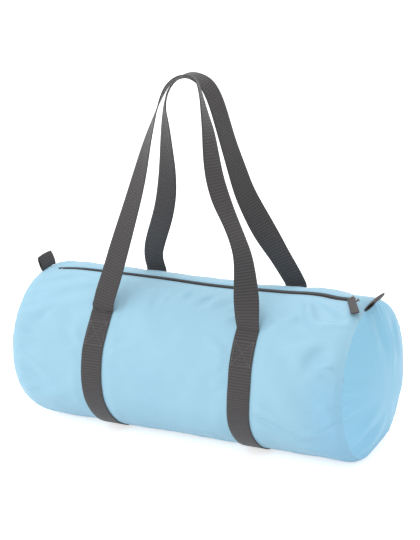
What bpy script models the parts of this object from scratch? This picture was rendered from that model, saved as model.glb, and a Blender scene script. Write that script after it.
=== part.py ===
"""Barrel sports bag: a fabric barrel with domed ends, a zip along the top and webbing handles.

The barrel lies along X, the photographed front faces -Y and Z is up. The origin is on the floor,
under the middle of the barrel. Lengths are metres.
"""
from math import asin, atan2, cos, pi, radians, sin, sqrt

import bmesh
import bpy
from mathutils import Matrix, Vector

# Sizes that more than one piece follows
seat_gap = 0.0003
webbing_width = 0.038
webbing_thickness = 0.0015
fabric_thickness = 0.0012

# The fabric barrel
barrel_radius = 0.1285
seam_length = 0.584
shoulder_length = 0.024
shoulder_draw = 0.0092
base_drop = 0.008
base_corner_radius = 0.060
end_dome = 0.0285
dome_power = 2.3
binding_width = 0.008
binding_thickness = 0.0022

# The zip
zip_turn = radians(-0.5)
zip_opening = 0.0125
tape_width = 0.0165
tape_thickness = 0.0008
chain_inset_left = 0.037
chain_inset_right = 0.0202
chain_gap = 0.0012
tooth_pitch = 0.0040
tooth_length = 0.0013
tooth_width = 0.0018
spine_width = 0.0009
chain_height = 0.0016
stop_length = 0.0028
stop_width = 0.0020

# The slider, its ring and its puller
slider_length = 0.0140
slider_width = 0.0100
slider_tail_width = 0.0078
slider_plate = 0.0012
neck_width = 0.0006
neck_length = 0.0035
crown_length = 0.0090
crown_width = 0.0022
crown_bar = 0.0013
crown_opening = 0.0030
ring_wire = 0.0012
ring_length = 0.0040
ring_inner_width = 0.0040
puller_length = 0.0430
puller_width = 0.0130
puller_top_width = 0.0110
puller_thickness = 0.0026
puller_eye_thickness = 0.0013
puller_eye_length = 0.0056
puller_hole_radius = 0.0011
puller_slope = radians(12.5)
puller_yaw = radians(31.0)

# The webbing
strap_pitch = 0.258
strap_end_turn = radians(44.0)
strap_lean = 0.012
lean_start_left = radians(45.0)
lean_start_right = radians(75.0)
lean_end = radians(125.0)
fold_gap = 0.0006
peel_length = 0.005
apex_height = 0.459
apex_spread = 0.0205
apex_tilt_front = radians(14.0)
tab_length = 0.025
tab_loop_gap = 0.0032
tab_lean_left = radians(16.0)
tab_lean_right = radians(47.0)
tab_inset_left = 0.006
tab_inset_right = 0.002

# How finely the round pieces are faceted
turn_step = radians(6.0)
dome_rings = 5
shoulder_steps = 3
path_steps = 3
tab_steps = 6
bend_steps = 8

# Each handle leg: share of the rise, share of the half pitch between the straps, share of a half turn
front_leg_left_shares = [
    (0.03, -1.000, 0.00), (0.07, -0.967, 0.01), (0.15, -0.873, 0.02), (0.28, -0.755, 0.04),
    (0.44, -0.605, 0.095), (0.59, -0.472, 0.145), (0.74, -0.358, 0.235), (0.84, -0.264, 0.30),
    (0.915, -0.182, 0.35), (0.970, -0.085, 0.37)]
front_leg_right_shares = [
    (0.985, 0.285, 0.36), (0.94, 0.346, 0.375), (0.88, 0.398, 0.425), (0.80, 0.455, 0.505),
    (0.70, 0.499, 0.57), (0.61, 0.552, 0.61), (0.52, 0.648, 0.63), (0.45, 0.752, 0.595),
    (0.38, 0.852, 0.58), (0.31, 0.930, 0.60), (0.24, 0.963, 0.65), (0.17, 0.982, 0.73),
    (0.11, 0.994, 0.85), (0.04, 1.003, 0.97)]
front_apex_shares = (1.01, 0.120, 0.38)
rear_leg_left_shares = [
    (0.03, -1.000, 0.00), (0.07, -1.012, 0.01), (0.13, -0.990, 0.04), (0.20, -0.905, 0.04),
    (0.32, -0.735, 0.035), (0.44, -0.610, 0.045), (0.56, -0.530, 0.105), (0.67, -0.480, 0.175),
    (0.78, -0.426, 0.25), (0.87, -0.372, 0.34), (0.945, -0.245, 0.40)]
rear_leg_right_shares = [
    (0.955, 0.210, 0.52), (0.90, 0.297, 0.54), (0.80, 0.348, 0.55), (0.68, 0.390, 0.56),
    (0.56, 0.445, 0.61), (0.47, 0.489, 0.65), (0.38, 0.572, 0.72), (0.28, 0.685, 0.83),
    (0.19, 0.812, 0.94), (0.11, 0.920, 0.97), (0.06, 0.978, 0.99), (0.03, 1.000, 1.00)]
rear_apex_shares = (0.985, 0.020, 0.46)

# Places worked out from the sizes above
axis_height = barrel_radius - base_drop + seat_gap + webbing_thickness
seam_half = seam_length / 2
chain_left = chain_inset_left - seam_half
chain_right = seam_half - chain_inset_right
strap_half = strap_pitch / 2
corner_drop = barrel_radius - base_drop - base_corner_radius
corner_side = sqrt((barrel_radius - base_corner_radius) ** 2 - corner_drop ** 2)
corner_turn = pi - atan2(corner_side, corner_drop)
tape_top = -fabric_thickness - seat_gap
tape_inner = chain_gap / 2 + tooth_length + spine_width + seat_gap
chain_middle = tape_top - tape_thickness / 2
zip_frame = Matrix.Translation((0, 0, axis_height)) @ Matrix.Rotation(-zip_turn, 4, "X")


def clear_scene():
    """Start from an empty scene and give the bag its collections."""
    for old in list(bpy.data.objects):
        bpy.data.objects.remove(old)
    for name in ("sports_bag", "cutters"):
        found = bpy.data.collections.get(name) or bpy.data.collections.new(name)
        if found.name not in bpy.context.scene.collection.children:
            bpy.context.scene.collection.children.link(found)


def make_material(name, colour, roughness, metallic=0.0):
    """A plain finish for one kind of material; the colour is linear."""
    material = bpy.data.materials.new(name)
    material.use_nodes = True
    shader = material.node_tree.nodes["Principled BSDF"]
    shader.inputs["Base Color"].default_value = (*colour, 1.0)
    shader.inputs["Roughness"].default_value = roughness
    shader.inputs["Metallic"].default_value = metallic
    return material


def add_object(name, data, material, place=None):
    """Link one sub-part to the bag's collection, with its origin at the place given."""
    piece = bpy.data.objects.new(name, data)
    piece.data.materials.append(material)
    if place is not None:
        piece.matrix_world = place
    bpy.data.collections["sports_bag"].objects.link(piece)
    return piece


def add_operand(name, data, place):
    """Link a shape that only cuts or joins a sub-part."""
    operand = bpy.data.objects.new(name, data)
    operand.matrix_world = place
    operand.hide_render = True
    operand.display_type = "WIRE"
    bpy.data.collections["cutters"].objects.link(operand)
    return operand


def unite(piece, operand, solver="EXACT"):
    """Join an operand to a sub-part, so that they are one body."""
    modifier = piece.modifiers.new("with_" + operand.name, "BOOLEAN")
    modifier.operation = "UNION"
    modifier.object = operand
    modifier.solver = solver


def finish_mesh(builder, name):
    """Turn a bmesh into mesh data, shaded smooth but for its real edges."""
    mesh = bpy.data.meshes.new(name)
    builder.to_mesh(mesh)
    builder.free()
    mesh.shade_smooth()
    mesh.set_sharp_from_angle(angle=radians(35.0))
    return mesh


def thicken(piece, thickness, offset, even=True):
    """Give an open surface its thickness; offset -1 is inwards and 0 is both ways."""
    modifier = piece.modifiers.new("thickness", "SOLIDIFY")
    modifier.thickness = thickness
    modifier.offset = offset
    modifier.use_even_offset = even


def grid_mesh(name, rows, outward):
    """An open surface through rows of points, with its faces turned to a given outward direction."""
    builder = bmesh.new()
    lines = [[builder.verts.new(point) for point in row] for row in rows]
    for near, far in zip(lines, lines[1:]):
        for start in range(len(near) - 1):
            builder.faces.new((near[start], near[start + 1], far[start + 1], far[start]))
    builder.normal_update()
    builder.faces.ensure_lookup_table()
    if builder.faces[0].normal.dot(outward) < 0:
        bmesh.ops.reverse_faces(builder, faces=builder.faces[:])
    return finish_mesh(builder, name)


def flat_mesh(name, outlines, thickness):
    """A flat plate in the XY plane, drawn as 2D curves, with its thickness along Z."""
    curve = bpy.data.curves.new(name, "CURVE")
    curve.dimensions = "2D"
    curve.fill_mode = "BOTH"
    curve.extrude = thickness / 2
    for outline in outlines:
        spline = curve.splines.new("POLY")
        spline.points.add(len(outline) - 1)
        for point, (across, along) in zip(spline.points, outline):
            point.co = (across, along, 0, 1)
        spline.use_cyclic_u = True
    holder = bpy.data.objects.new(name, curve)
    bpy.context.scene.collection.objects.link(holder)
    evaluated = holder.evaluated_get(bpy.context.evaluated_depsgraph_get())
    mesh = bpy.data.meshes.new_from_object(evaluated)
    bpy.data.objects.remove(holder)
    bpy.data.curves.remove(curve)
    builder = bmesh.new()
    builder.from_mesh(mesh)
    bmesh.ops.remove_doubles(builder, verts=builder.verts[:], dist=seat_gap / 100)
    bmesh.ops.recalc_face_normals(builder, faces=builder.faces[:])
    bpy.data.meshes.remove(mesh)
    return finish_mesh(builder, name)


def box_mesh(name, length, width, height):
    """A box centred on its own origin."""
    builder = bmesh.new()
    bmesh.ops.create_cube(builder, size=1.0)
    bmesh.ops.scale(builder, vec=(length, width, height), verts=builder.verts[:])
    return finish_mesh(builder, name)


def rounded_outline(corners, radius, steps=bend_steps // 2):
    """An outline through convex corners, each rounded by an arc of the given radius."""
    outline = []
    count = len(corners)
    for index in range(count):
        before = Vector(corners[index - 1])
        corner = Vector(corners[index])
        after = Vector(corners[(index + 1) % count])
        back = (before - corner).normalized()
        forth = (after - corner).normalized()
        half_angle = back.angle(forth) / 2
        centre = corner + (back + forth).normalized() * radius / sin(half_angle)
        first = corner + back * radius / (sin(half_angle) / cos(half_angle)) - centre
        last = corner + forth * radius / (sin(half_angle) / cos(half_angle)) - centre
        for step in range(steps + 1):
            spoke = first.slerp(last, step / steps).normalized() * radius
            outline.append(tuple(centre + spoke))
    return outline


def circle_outline(radius, steps=2 * bend_steps):
    """A round outline about the origin."""
    turns = [2 * pi * step / steps for step in range(steps)]
    return [(radius * cos(turn), radius * sin(turn)) for turn in turns]


def outline_reach(turn, offset):
    """How far the barrel's outline, offset outwards, lies from its axis at a turn from its top."""
    if abs(turn) <= corner_turn:
        return barrel_radius + offset
    floor_reach = (barrel_radius - base_drop + offset) / -cos(turn)
    if floor_reach * abs(sin(turn)) <= corner_side:
        return floor_reach
    along = corner_side * abs(sin(turn)) - corner_drop * cos(turn)
    corner = base_corner_radius + offset
    return along + sqrt(along ** 2 - corner_side ** 2 - corner_drop ** 2 + corner ** 2)


def shoulder_fall(x):
    """How far the end seams draw the barrel in at a place along it."""
    share = max(0.0, abs(x) - seam_half + shoulder_length) / shoulder_length
    return shoulder_draw * share ** 2


def barrel_point(x, turn, offset):
    """A point over the barrel, offset square to its fabric; turns to the rear count up."""
    slope = 2 * sqrt(shoulder_draw * shoulder_fall(x)) / shoulder_length
    reach = outline_reach(turn, offset * sqrt(1 + slope ** 2) - shoulder_fall(x))
    return Vector((x, reach * sin(turn), axis_height + reach * cos(turn)))


def turns_between(start, end):
    """Turns on the barrel's common facets between two ends, with both ends."""
    first = int((start - zip_turn) // turn_step) + 1
    turns = [start]
    while zip_turn + first * turn_step < end - turn_step / 8:
        if zip_turn + first * turn_step > start + turn_step / 8:
            turns.append(zip_turn + first * turn_step)
        first += 1
    return turns + [end]


def stations_between(start, end):
    """Places along X for a piece on the barrel, closer together over the shoulders."""
    stations = {start, end}
    for step in range(shoulder_steps + 1):
        place = seam_half - shoulder_length * (1 - step / shoulder_steps)
        stations.update(x for x in (-place, place) if start < x < end)
    return sorted(stations)


def wrapped_piece(name, material, span_x, span_turn, offset, thickness):
    """A sheet that lies round the barrel: its outer face is at the offset, its thickness inwards."""
    turns = turns_between(*span_turn)
    rows = [[barrel_point(x, turn, offset) for turn in turns] for x in stations_between(*span_x)]
    first_turn = (turns[0] + turns[1]) / 2
    mesh = grid_mesh(name, rows, Vector((0, sin(first_turn), cos(first_turn))))
    piece = add_object(name, mesh, material)
    thicken(piece, thickness, -1)
    return piece


def make_barrel_panel(material):
    """One rectangle of fabric round the barrel, open along the zip."""
    half_turn = asin(zip_opening / 2 / barrel_radius)
    span = (zip_turn + half_turn - 2 * pi, zip_turn - half_turn)
    turns = turns_between(*span)
    turns = [turn + 2 * pi if turn < -pi else turn for turn in turns]
    rows = [[barrel_point(x, turn, 0) for turn in turns] for x in stations_between(-seam_half, seam_half)]
    mesh = grid_mesh("barrel_panel", rows, Vector((0, sin(turns[0]), cos(turns[0]))))
    piece = add_object("barrel_panel", mesh, material)
    thicken(piece, fabric_thickness, -1)


def make_end_panel(name, side, material):
    """A round end, seated on the barrel's edge and domed outwards."""
    builder = bmesh.new()
    turns = [zip_turn + step * turn_step for step in range(round(2 * pi / turn_step))]
    rim_x = seam_half + seat_gap + fabric_thickness
    middle = builder.verts.new((side * (rim_x + end_dome), 0, axis_height))
    rings = []
    for step in range(1, dome_rings + 1):
        share = sin(pi / 2 * step / dome_rings)
        x = side * (rim_x + end_dome * (1 - share ** dome_power))
        ring = []
        for turn in turns:
            near_turn = (turn + pi) % (2 * pi) - pi
            reach = share * outline_reach(near_turn, -shoulder_draw)
            point = (x, reach * sin(near_turn), axis_height + reach * cos(near_turn))
            ring.append(builder.verts.new(point))
        rings.append(ring)
    count = len(turns)
    for index in range(count):
        after = (index + 1) % count
        builder.faces.new((middle, rings[0][index], rings[0][after]))
        for inner, outer in zip(rings, rings[1:]):
            builder.faces.new((inner[index], outer[index], outer[after], inner[after]))
    builder.normal_update()
    builder.faces.ensure_lookup_table()
    if builder.faces[0].normal.x * side < 0:
        bmesh.ops.reverse_faces(builder, faces=builder.faces[:])
    piece = add_object(name, finish_mesh(builder, name), material)
    thicken(piece, fabric_thickness, -1)


def make_seam_binding(name, side, material):
    """Binding tape round the raw seam inside an end, open over the zip tapes."""
    tape_turn = asin((tape_inner + tape_width + seat_gap) / barrel_radius)
    turns = turns_between(zip_turn + tape_turn - 2 * pi, zip_turn - tape_turn)
    turns = [turn + 2 * pi if turn < -pi else turn for turn in turns]
    ends = sorted((side * seam_half, side * (seam_half - binding_width)))
    rows = [[barrel_point(x, turn, tape_top) for turn in turns] for x in stations_between(*ends)]
    mesh = grid_mesh(name, rows, Vector((0, sin(turns[0]), cos(turns[0]))))
    thicken(add_object(name, mesh, material), binding_thickness, -1)


def make_zip_tape(name, side, material):
    """A tape sewn under the barrel panel's long edge; side 1 is the rear and -1 the front."""
    inner = zip_turn + side * asin(tape_inner / barrel_radius)
    outer = zip_turn + side * asin((tape_inner + tape_width) / barrel_radius)
    span = (min(inner, outer), max(inner, outer))
    wrapped_piece(name, material, (-seam_half, seam_half), span, tape_top, tape_thickness)


def make_zip_teeth(name, side, material):
    """A row of elements on one spine; the rear row is half a pitch along from the front one."""
    tip = side * chain_gap / 2
    root = tip + side * tooth_length
    back = root + side * spine_width
    shift = tooth_pitch / 2 if side > 0 else 0.0
    count = int((chain_right - chain_left - shift - tooth_width) // tooth_pitch)
    outline = [(chain_left, back), (chain_left, root)]
    for tooth in range(count):
        start = chain_left + shift + tooth_width / 2 + tooth * tooth_pitch
        outline += [(start, root), (start, tip), (start + tooth_width, tip), (start + tooth_width, root)]
    outline += [(chain_right, root), (chain_right, back)]
    place = zip_frame @ Matrix.Translation((0, 0, barrel_radius + chain_middle))
    add_object(name, flat_mesh(name, [outline], chain_height), material, place)


def make_stops(material):
    """The bottom stop across both rows at the left, and a top stop on each row at the right."""
    height = chain_height + tape_thickness
    across = chain_gap + 2 * (tooth_length + spine_width)
    left_x = chain_left - seat_gap - stop_length / 2
    right_x = chain_right + seat_gap + stop_length / 2
    level = barrel_radius + chain_middle
    row_middle = (chain_gap + tooth_length + spine_width) / 2
    stops = [("zip_stop_left", left_x, 0.0, across), ("zip_stop_right_front", right_x, -row_middle, stop_width),
             ("zip_stop_right_rear", right_x, row_middle, stop_width)]
    for name, x, across_place, width in stops:
        place = zip_frame @ Matrix.Translation((x, across_place, level))
        add_object(name, box_mesh(name, stop_length, width, height), material, place)


def make_slider(material):
    """The slider's body: two shield plates, the neck between them and the crown on top."""
    half, tail, nose = slider_length / 2, slider_tail_width / 2, slider_width / 2
    corners = [(-half, -tail), (0, -nose), (half, -nose), (half, nose), (0, nose), (-half, tail)]
    outline = rounded_outline(corners, slider_tail_width / 8)
    place = zip_frame @ Matrix.Translation((slider_x, 0, barrel_radius + chain_middle))
    plate_level = chain_height / 2 + seat_gap + slider_plate / 2
    piece = add_object("zip_slider", flat_mesh("zip_slider", [outline], slider_plate), material, place)
    piece.matrix_world = place @ Matrix.Translation((0, 0, plate_level))
    lower = place @ Matrix.Translation((0, 0, -plate_level))
    lower_plate = flat_mesh("slider_lower_plate", [outline], slider_plate)
    unite(piece, add_operand("slider_lower_plate", lower_plate, lower))
    neck = box_mesh("slider_neck", neck_length, neck_width, 2 * plate_level)
    neck_place = place @ Matrix.Translation((half - neck_length, 0, 0))
    unite(piece, add_operand("slider_neck", neck, neck_place))
    crown_rise = crown_opening + crown_bar
    bar = crown_bar
    long, low = crown_length / 2, -slider_plate / 4
    arch = [(-long, low), (-long, crown_rise - bar), (bar - long, crown_rise), (long - bar, crown_rise),
            (long, crown_rise - bar), (long, low), (long - bar, low), (long - bar, crown_opening),
            (bar - long, crown_opening), (bar - long, low)]
    crown = flat_mesh("slider_crown", [arch], crown_width)
    crown_place = place @ Matrix.Translation((0, 0, plate_level + slider_plate / 2)) @ Matrix.Rotation(
        pi / 2, 4, "X")
    unite(piece, add_operand("slider_crown", crown, crown_place), "MANIFOLD")
    return piece


def make_pull_ring(material):
    """A long wire ring round the crown's bar, lying towards the front."""
    curve = bpy.data.curves.new("pull_ring", "CURVE")
    curve.dimensions = "3D"
    curve.bevel_depth = ring_wire / 2
    curve.bevel_resolution = 2
    radius = (ring_inner_width + ring_wire) / 2
    points = []
    for centre, first in ((0.0, -pi / 2), (-ring_length, pi / 2)):
        for step in range(bend_steps + 1):
            turn = first + pi * step / bend_steps
            points.append((0, centre + radius * cos(turn), radius * sin(turn)))
    spline = curve.splines.new("POLY")
    spline.points.add(len(points) - 1)
    for point, place in zip(spline.points, points):
        point.co = (*place, 1)
    spline.use_cyclic_u = True
    return add_object("pull_ring", curve, material, zip_frame @ Matrix.Translation(ring_pivot))


def make_puller(material):
    """A moulded puller: a thin eye for the ring and a thicker grip that widens to its end."""
    top, end = puller_top_width / 2, puller_width / 2
    above = puller_eye_length / 2
    below = puller_length - above
    eye_side = top + (end - top) * puller_eye_length / puller_length
    edge = (puller_thickness - puller_eye_thickness) / 2
    body = rounded_outline([(-top, above), (-end, -below), (end, -below), (top, above)], puller_width / 6)
    grip = rounded_outline([(-eye_side, -above), (-end, -below), (end, -below), (eye_side, -above)],
                           puller_width / 6)
    grip = [(across * (1 - edge / end), along) for across, along in grip]
    place = zip_frame @ Matrix.Translation(puller_pivot) @ Matrix.Rotation(puller_slope, 4, "X")
    place = place @ Matrix.Rotation(puller_yaw, 4, "Z")
    hole = circle_outline(puller_hole_radius)
    piece = add_object("zip_puller", flat_mesh("zip_puller", [body, hole], puller_eye_thickness), material,
                       place)
    operand = add_operand("puller_grip", flat_mesh("puller_grip", [grip], puller_thickness), place)
    unite(piece, operand)
    return piece


def strap_drift(turn, start):
    """How far a belly strap has wandered from its plane at a turn; it leans over from the start."""
    share = min(max((abs(turn) - start) / (lean_end - start), 0.0), 1.0)
    return -strap_lean * share * share * (3 - 2 * share)


def make_belly_strap(name, x, lean_start, material):
    """Webbing sewn round the barrel, from its front stitching under the base to the rear."""
    turns = turns_between(strap_end_turn - 2 * pi, -strap_end_turn)
    turns = [turn + 2 * pi if turn < -pi else turn for turn in turns]
    half = webbing_width / 2
    rows = [[barrel_point(place + strap_drift(turn, lean_start), turn, seat_gap + webbing_thickness)
             for turn in turns] for place in (x - half, x + half)]
    mesh = grid_mesh(name, rows, Vector((0, sin(turns[0]), cos(turns[0]))))
    thicken(add_object(name, mesh, material), webbing_thickness, -1)


def smooth_rows(rows, steps):
    """Rows on a smooth curve through the given ones; the first three numbers are their place."""
    rows = [Vector(row) for row in rows]
    spans = [(after.xyz - before.xyz).length for before, after in zip(rows, rows[1:])]
    rates = [(after - before) / span for before, after, span in zip(rows, rows[1:], spans)]
    slopes = [rates[0]]
    for index in range(1, len(rates)):
        before, after = spans[index - 1], spans[index]
        slopes.append((rates[index - 1] * after + rates[index] * before) / (before + after))
    slopes.append(rates[-1])
    result = []
    for start, end, leave, arrive, span in zip(rows, rows[1:], slopes, slopes[1:], spans):
        for step in range(steps):
            t = step / steps
            result.append(start * (1 + 2 * t) * (1 - t) ** 2 + end * t ** 2 * (3 - 2 * t)
                          + leave * span * t * (1 - t) ** 2 - arrive * span * t ** 2 * (1 - t))
    return result + [rows[-1]]


def handle_route(side, left_shares, apex_shares, right_shares):
    """The handle's centre line and turn, from its left foot over the apex to its right foot."""
    foot_turn = strap_end_turn - fold_gap / barrel_radius
    reach = barrel_radius + seat_gap + webbing_thickness / 2
    foot_y, foot_z = reach * sin(foot_turn), reach * cos(foot_turn)
    peel_y = foot_y - peel_length * cos(foot_turn)
    peel_z = foot_z + peel_length * sin(foot_turn)
    rows = [(-strap_half, foot_y, foot_z, 0.0), (-strap_half, peel_y, peel_z, 0.0)]
    for rise, across, turn in left_shares + [apex_shares] + right_shares:
        rows.append((across * strap_half, foot_y + (apex_spread - foot_y) * rise,
                     foot_z + (apex_height - foot_z) * rise, turn))
    rows += [(strap_half, peel_y, peel_z, 1.0), (strap_half, foot_y, foot_z, 1.0)]
    return [(x, side * y, axis_height + z, -pi * turn) for x, y, z, turn in smooth_rows(rows, path_steps)]


def make_handle(name, side, shares, tilt, material):
    """A free length of webbing that twists a quarter turn up each leg; it hinges at its feet."""
    route = handle_route(side, *shares)
    hinge = Vector(handle_hinge(side))
    half = webbing_width / 2
    edges = [[], [], []]
    for index, (x, y, z, turn) in enumerate(route):
        ahead = Vector(route[min(index + 1, len(route) - 1)][:3])
        behind = Vector(route[max(index - 1, 0)][:3])
        along = (ahead - behind).normalized()
        across = Vector((cos(turn), sin(turn), sin(tilt) * sin(turn) ** 2))
        across = (across - along * across.dot(along)).normalized()
        centre = Vector((x, y, z)) - hinge
        for edge, place in zip(edges, (-half, 0.0, half)):
            edge.append(centre + across * place)
    mesh = grid_mesh(name, edges, Vector((0, side, 0)))
    piece = add_object(name, mesh, material, Matrix.Translation(hinge))
    thicken(piece, webbing_thickness, 0, even=False)
    return piece


def handle_hinge(side):
    """The line that a handle folds about: the webbing's outer face at the top of its stitching."""
    turn = strap_end_turn - fold_gap / 2 / barrel_radius
    reach = barrel_radius + seat_gap + webbing_thickness
    return (0.0, side * reach * sin(turn), axis_height + reach * cos(turn))


def make_tab(name, side, lean, inset, material):
    """A short length of webbing folded flat, with both ends caught at the end seam; its layers part."""
    rim_x = seam_half - inset
    rim_reach = barrel_radius - shoulder_fall(rim_x)
    slope = 2 * sqrt(shoulder_draw * shoulder_fall(rim_x)) / shoulder_length
    closed = (webbing_thickness + seat_gap) / 2
    opened = (webbing_thickness + tab_loop_gap) / 2
    outward = Vector((side * sin(lean), 0, cos(lean)))
    sideways = Vector((side * cos(lean), 0, -sin(lean)))
    corner_lift = (closed + webbing_thickness / 2) * abs(slope * cos(lean) - sin(lean))
    lift = (corner_lift + 2 * seat_gap) / cos(lean)
    seam = Vector((side * rim_x, 0, rim_reach)) + outward * lift
    straight = tab_length - closed - webbing_thickness / 2 - lift
    layer = []
    for step in range(tab_steps + 1):
        share = step / tab_steps
        spread = closed + (opened - closed) * 4 * share * (1 - share)
        layer.append((straight * share, spread))
    bend = [(straight + closed * sin(turn), closed * cos(turn))
            for turn in (pi * step / bend_steps for step in range(1, bend_steps))]
    profile = layer + bend + [(along, -spread) for along, spread in reversed(layer)]
    rows = []
    for step in range(tab_steps // 2 + 1):
        y = webbing_width * step / (tab_steps // 2) - webbing_width / 2
        sag = rim_reach - sqrt(rim_reach ** 2 - y ** 2)
        rows.append([zip_frame @ (seam + outward * along + sideways * spread + Vector((0, y, -sag)))
                     for along, spread in profile])
    mesh = grid_mesh(name, rows, zip_frame.to_3x3() @ sideways)
    thicken(add_object(name, mesh, material), webbing_thickness, 0)


def keep_on(child, parent):
    """Parent a moving piece to the one that carries it, without moving it."""
    bpy.context.view_layer.update()
    world = child.matrix_world.copy()
    child.parent = parent
    child.matrix_parent_inverse = parent.matrix_world.inverted()
    child.matrix_world = world


slider_x = chain_right - slider_length / 2
crown_base = barrel_radius + chain_middle + chain_height / 2 + seat_gap + slider_plate
ring_pivot = Vector((slider_x, 0, crown_base + crown_opening + crown_bar / 2))
puller_pivot = ring_pivot + Vector((0, -ring_length - (ring_inner_width + ring_wire) / 2, 0))


def main():
    clear_scene()
    fabric = make_material("shell_fabric", (0.39, 0.66, 0.82), 0.55)
    webbing = make_material("webbing", (0.087, 0.083, 0.087), 0.85)
    tape = make_material("zip_tape", (0.100, 0.095, 0.098), 0.85)
    nylon = make_material("zip_nylon", (0.075, 0.072, 0.075), 0.45)
    metal = make_material("slider_metal", (0.22, 0.22, 0.23), 0.35, 1.0)
    moulding = make_material("puller_moulding", (0.11, 0.11, 0.115), 0.55)
    make_barrel_panel(fabric)
    ends = (("left", -1, tab_lean_left, tab_inset_left), ("right", 1, tab_lean_right, tab_inset_right))
    for name, side, lean, inset in ends:
        make_end_panel("end_panel_" + name, side, fabric)
        make_seam_binding("seam_binding_" + name, side, tape)
        make_tab("tab_" + name, side, lean, inset, webbing)
    for name, side in (("front", -1), ("rear", 1)):
        make_zip_tape("zip_tape_" + name, side, tape)
        make_zip_teeth("zip_teeth_" + name, side, nylon)
    make_stops(metal)
    slider = make_slider(metal)
    ring = make_pull_ring(metal)
    puller = make_puller(moulding)
    keep_on(ring, slider)
    keep_on(puller, ring)
    make_belly_strap("belly_strap_left", -strap_half, lean_start_left, webbing)
    make_belly_strap("belly_strap_right", strap_half, lean_start_right, webbing)
    front = (front_leg_left_shares, front_apex_shares, front_leg_right_shares)
    rear = (rear_leg_left_shares, rear_apex_shares, rear_leg_right_shares)
    make_handle("handle_front", -1, front, apex_tilt_front, webbing)
    make_handle("handle_rear", 1, rear, 0.0, webbing)


main()
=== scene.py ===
"""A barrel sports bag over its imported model: folded lining cloth, ribbed webbing and a coil zip.

The barrel lies along X, the photographed front faces -Y and Z is up. Lengths are metres.
"""
from math import cos, pi, radians, sin, sqrt

import bpy
import numpy as np
from mathutils import Matrix, Vector


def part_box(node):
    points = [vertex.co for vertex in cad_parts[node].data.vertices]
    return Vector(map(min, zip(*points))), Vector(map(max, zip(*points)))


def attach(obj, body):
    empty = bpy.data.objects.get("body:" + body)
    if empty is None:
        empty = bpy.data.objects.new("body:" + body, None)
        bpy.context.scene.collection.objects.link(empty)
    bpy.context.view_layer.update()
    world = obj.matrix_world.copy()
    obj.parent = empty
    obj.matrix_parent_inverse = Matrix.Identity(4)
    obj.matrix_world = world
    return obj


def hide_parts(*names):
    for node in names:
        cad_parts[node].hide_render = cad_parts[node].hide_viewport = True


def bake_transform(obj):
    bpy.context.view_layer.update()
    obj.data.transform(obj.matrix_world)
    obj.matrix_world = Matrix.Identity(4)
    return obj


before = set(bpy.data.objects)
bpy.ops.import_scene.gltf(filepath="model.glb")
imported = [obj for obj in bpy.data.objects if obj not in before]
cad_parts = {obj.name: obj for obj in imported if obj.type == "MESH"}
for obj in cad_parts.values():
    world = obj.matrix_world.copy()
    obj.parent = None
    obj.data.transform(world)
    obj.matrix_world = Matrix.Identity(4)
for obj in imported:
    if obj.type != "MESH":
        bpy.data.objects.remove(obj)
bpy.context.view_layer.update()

# The photographer's view
# The bag stood in a studio, photographed from about 2.3 m, from its right and a little above.
# The camera leant over by some degrees, so the bag looks as if it runs downhill.
scene = bpy.context.scene
view_azimuth = radians(29.73)
view_elevation = radians(19.9)
view_roll = radians(-4.659)
view_distance = 2.27113
view_aim = Vector((0.02299, 0.0, 0.27243))
focal_pixels = 1446.25
long_side_pixels = 540
away = Vector((sin(view_azimuth) * cos(view_elevation), -cos(view_azimuth) * cos(view_elevation),
               sin(view_elevation)))
level_right = Vector((cos(view_azimuth), sin(view_azimuth), 0))
level_up = away.cross(level_right)
view_right = level_right * cos(view_roll) + level_up * sin(view_roll)
view_up = level_up * cos(view_roll) - level_right * sin(view_roll)


def add_object(name, data):
    """A new object in the scene that shows the data."""
    thing = bpy.data.objects.new(name, data)
    scene.collection.objects.link(thing)
    return thing


camera_data = bpy.data.cameras.new("photographer")
camera_data.lens = camera_data.sensor_width * focal_pixels / long_side_pixels
camera = add_object("photographer", camera_data)
camera.matrix_world = Matrix.Translation(view_aim + away * view_distance) @ Matrix(
    (view_right, view_up, away)).transposed().to_4x4()
scene.camera = camera

# The studio
# A plain white sweep in a bright white room, with large soft boxes at the left, high at the front and
# overhead behind. The floor shows white, with the bag's soft shadow on it.
scene.view_settings.view_transform = "Standard"


def to_linear(hex_colour):
    """The linear RGBA of an sRGB colour written as six hex digits."""
    channels = [int(hex_colour[place:place + 2], 16) / 255 for place in (0, 2, 4)]
    return (*[c / 12.92 if c <= 0.04045 else ((c + 0.055) / 1.055) ** 2.4 for c in channels], 1.0)


def add_node(tree, kind, settings=None, **inputs):
    """Add a node; an input is a value, or another node's output socket to link."""
    node = tree.nodes.new(kind)
    for name, value in (settings or {}).items():
        setattr(node, name, value)
    for name, value in inputs.items():
        socket = node.inputs[int(name[1:])] if name[1:].isdigit() else node.inputs[name.replace("_", " ")]
        if isinstance(value, bpy.types.NodeSocket):
            tree.links.new(value, socket)
        else:
            socket.default_value = value
    return node


def background_share(tree):
    """1 on rays from the camera and on those that gloss or glass sends on to the background."""
    path = add_node(tree, "ShaderNodeLightPath")
    glossy = add_node(tree, "ShaderNodeMath", {"operation": "MAXIMUM"}, _0=path.outputs["Is Camera Ray"],
                      _1=path.outputs["Is Glossy Ray"])
    return add_node(tree, "ShaderNodeMath", {"operation": "MAXIMUM"}, _0=glossy.outputs[0],
                    _1=path.outputs["Is Transmission Ray"]).outputs[0]


world_level = 0.79
world = bpy.data.worlds.new("white_studio")
world.use_nodes = True
world.node_tree.nodes.clear()
dim_air = add_node(world.node_tree, "ShaderNodeBackground", Color=to_linear("FFFFFF"), Strength=world_level)
seen_air = add_node(world.node_tree, "ShaderNodeBackground", Color=to_linear("FFFFFF"), Strength=1.0)
air = add_node(world.node_tree, "ShaderNodeMixShader", _0=background_share(world.node_tree),
               _1=dim_air.outputs[0], _2=seen_air.outputs[0])
add_node(world.node_tree, "ShaderNodeOutputWorld", Surface=air.outputs[0])
scene.world = world


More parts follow.
